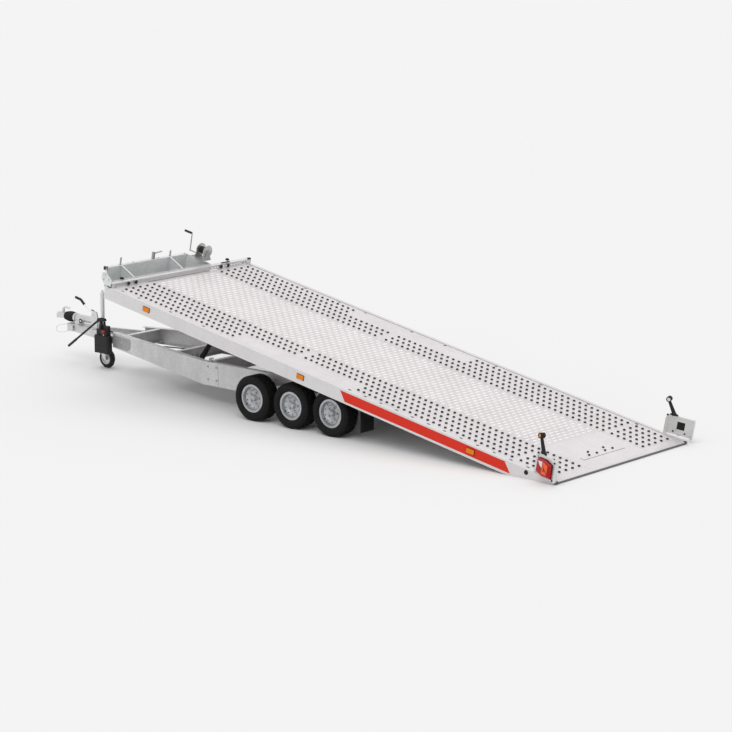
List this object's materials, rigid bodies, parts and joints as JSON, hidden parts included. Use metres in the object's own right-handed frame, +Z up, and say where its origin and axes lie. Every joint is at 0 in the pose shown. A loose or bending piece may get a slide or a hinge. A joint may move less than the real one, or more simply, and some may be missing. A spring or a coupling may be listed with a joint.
{
  "type": "car transporter trailer",
  "caption": "Tilting-bed car transporter trailer with perforated tracks, front tool box, winch, swing-out lamps, hydraulic tilt and jockey wheel.",
  "frame": {"origin": "on the ground under the middle of the whole trailer, with the bed tilted", "axes": "+X forward to the coupling, +Y to the trailer's left, +Z up"},
  "size_m": [7.9528, 2.3198, 1.5647],
  "materials": {
    "galvanised_steel": "hot-dip galvanised",
    "deck_plate": "galvanised sheet",
    "zinc_plated": "zinc plated",
    "painted_black": "semi-gloss black",
    "silver_rim": "silver paint",
    "tyre": "matt",
    "black_rubber": "matt",
    "black_plastic": "matt",
    "lamp_red": "clear gloss",
    "lamp_amber": "clear gloss",
    "chromed_rod": "hard chrome"
  },
  "bodies": {
    "chassis": {"axles": "galvanised_steel", "breakaway_cable": "black_plastic", "chassis_brackets": "galvanised_steel", "coupling_bellows": "black_rubber", "coupling_head": "zinc_plated", "cross_members": "galvanised_steel", "hand_pump": "painted_black", "handbrake": "zinc_plated", "handbrake_grip": "black_plastic", "hydraulic_hose": "black_plastic", "jockey_stand": "zinc_plated", "mud_flaps": "black_rubber", "nose_frame": "galvanised_steel", "overrun_housing": "zinc_plated", "side_beams": "galvanised_steel", "v_beams": "galvanised_steel"},
    "bed": {"bar_fittings": "black_plastic", "bed_brackets": "galvanised_steel", "bed_cross_members": "galvanised_steel", "box_fittings": "black_plastic", "deck_centre": "deck_plate", "deck_tracks": "deck_plate", "front_box": "galvanised_steel", "rear_lip": "black_rubber", "rear_plate": "deck_plate", "rubber_plugs": "black_rubber", "side_markers": "lamp_amber", "side_rails": "galvanised_steel", "wheel_stop_bar": "galvanised_steel", "winch_frame": "zinc_plated"},
    "winch_crank": {"crank_grip": "black_plastic", "winch_crank": "zinc_plated"},
    "cylinder_barrel": {"cylinder_barrel": "painted_black"},
    "cylinder_rod": {"cylinder_rod": "chromed_rod"},
    "jockey_castor": {"jockey_fork": "zinc_plated"},
    "jockey_wheel": {"jockey_hub": "zinc_plated", "jockey_tyre": "black_rubber"},
    "jockey_slide": {"jockey_tube": "zinc_plated"},
    "lamp_left": {"lamp_bracket_left": "zinc_plated", "outline_marker_left": "black_rubber", "tail_lamp_left": "lamp_red"},
    "lamp_right": {"lamp_bracket_right": "zinc_plated", "outline_marker_right": "black_rubber", "tail_lamp_right": "lamp_red"},
    "wheel_front_left": {"rim_front_left": "silver_rim", "tyre_front_left": "tyre"},
    "wheel_front_right": {"rim_front_right": "silver_rim", "tyre_front_right": "tyre"},
    "wheel_middle_left": {"rim_middle_left": "silver_rim", "tyre_middle_left": "tyre"},
    "wheel_middle_right": {"rim_middle_right": "silver_rim", "tyre_middle_right": "tyre"},
    "wheel_rear_left": {"rim_rear_left": "silver_rim", "tyre_rear_left": "tyre"},
    "wheel_rear_right": {"rim_rear_right": "silver_rim", "tyre_rear_right": "tyre"},
    "winch_drum": {"winch_drum": "zinc_plated"}
  },
  "joints": [
    {"name": "wheel_front_left_spin", "type": "hinge", "parent": "chassis", "child": "wheel_front_left", "pos_m": [0.00411, 0.9075, 0.234], "axis": [0, 1, 0], "continuous": true},
    {"name": "wheel_front_right_spin", "type": "hinge", "parent": "chassis", "child": "wheel_front_right", "pos_m": [0.00411, -0.9075, 0.234], "axis": [0, 1, 0], "continuous": true},
    {"name": "wheel_middle_left_spin", "type": "hinge", "parent": "chassis", "child": "wheel_middle_left", "pos_m": [-0.52589, 0.9075, 0.234], "axis": [0, 1, 0], "continuous": true},
    {"name": "wheel_middle_right_spin", "type": "hinge", "parent": "chassis", "child": "wheel_middle_right", "pos_m": [-0.52589, -0.9075, 0.234], "axis": [0, 1, 0], "continuous": true},
    {"name": "wheel_rear_left_spin", "type": "hinge", "parent": "chassis", "child": "wheel_rear_left", "pos_m": [-1.05589, 0.9075, 0.234], "axis": [0, 1, 0], "continuous": true},
    {"name": "wheel_rear_right_spin", "type": "hinge", "parent": "chassis", "child": "wheel_rear_right", "pos_m": [-1.05589, -0.9075, 0.234], "axis": [0, 1, 0], "continuous": true},
    {"name": "bed_tilt", "type": "hinge", "parent": "chassis", "child": "bed", "pos_m": [-1.18589, 0, 0.395], "axis": [0, 1, 0], "range_deg": [0, 10.85]},
    {"name": "cylinder_swing", "type": "hinge", "parent": "chassis", "child": "cylinder_barrel", "pos_m": [1.75511, 0, 0.172], "axis": [0, -1, 0], "range_deg": [0, 23.4]},
    {"name": "cylinder_stroke", "type": "slide", "parent": "cylinder_barrel", "child": "cylinder_rod", "axis": [0.594, 0, -0.8045], "range_m": [0, 0.3561]},
    {"name": "jockey_lift", "type": "slide", "parent": "chassis", "child": "jockey_slide", "axis": [0, 0, 1], "range_m": [0, 0.075]},
    {"name": "jockey_castor", "type": "hinge", "parent": "jockey_slide", "child": "jockey_castor", "pos_m": [3.11411, 0.1, 0.228], "axis": [0, 0, 1], "continuous": true},
    {"name": "jockey_wheel_spin", "type": "hinge", "parent": "jockey_castor", "child": "jockey_wheel", "pos_m": [3.05411, 0.1, 0.1075], "axis": [0, 1, 0], "continuous": true},
    {"name": "winch_drum_turn", "type": "hinge", "parent": "bed", "child": "winch_drum", "pos_m": [2.01806, -0.437, 1.35292], "axis": [0.9821, 0, 0.1882], "continuous": true},
    {"name": "winch_crank_turn", "type": "hinge", "parent": "bed", "child": "winch_crank", "pos_m": [2.02936, -0.437, 1.29399], "axis": [0.9821, 0, 0.1882], "continuous": true},
    {"name": "lamp_left_swing", "type": "hinge", "parent": "bed", "child": "lamp_left", "pos_m": [-3.64539, 1.044, 0.07907], "axis": [-0.1882, 0, 0.9821], "range_deg": [0, 109]},
    {"name": "lamp_right_swing", "type": "hinge", "parent": "bed", "child": "lamp_right", "pos_m": [-3.64539, -1.044, 0.07907], "axis": [0.1882, 0, -0.9821], "range_deg": [0, 109]}
  ],
  "couplings": [
    {"joint": "cylinder_swing", "follows": "bed_tilt", "ratio": 2.153},
    {"joint": "cylinder_stroke", "follows": "bed_tilt", "m_per_rad": 1.8777},
    {"joint": "winch_crank_turn", "follows": "winch_drum_turn", "ratio": -5}
  ]
}
